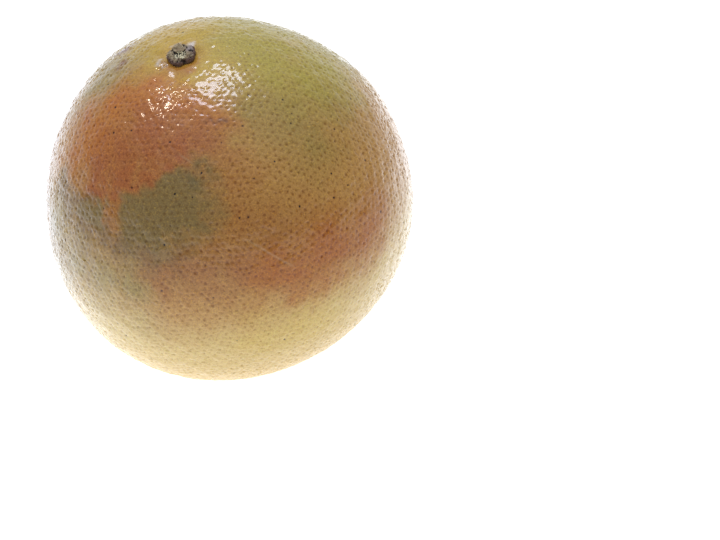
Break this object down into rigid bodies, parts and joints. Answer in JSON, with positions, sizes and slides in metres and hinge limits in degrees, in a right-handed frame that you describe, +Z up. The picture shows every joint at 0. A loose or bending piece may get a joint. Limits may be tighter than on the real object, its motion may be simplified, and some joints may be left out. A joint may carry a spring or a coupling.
{
  "type": "grapefruit",
  "caption": "Whole ripe grapefruit with pored, blushed peel and a dried calyx at the stem end, resting on a small flat spot.",
  "frame": {"origin": "on the resting plane, under the middle of the fruit's bounding box, on the small flat spot it rests on", "axes": "+Z up, away from the resting plane; the fruit's own axis leans 15 degrees from +Z, its stem end towards -X and a little towards -Y"},
  "size_m": [0.1064, 0.1056, 0.1039],
  "materials": {
    "peel": "waxy, finely pored citrus peel: tan-orange ground with an orange-red blush and olive-green patches",
    "calyx": "dry, rough, grey-brown stem button with a paler pith"
  },
  "bodies": {
    "root": {"fruit": "peel", "calyx": "calyx"}
  },
  "joints": []
}
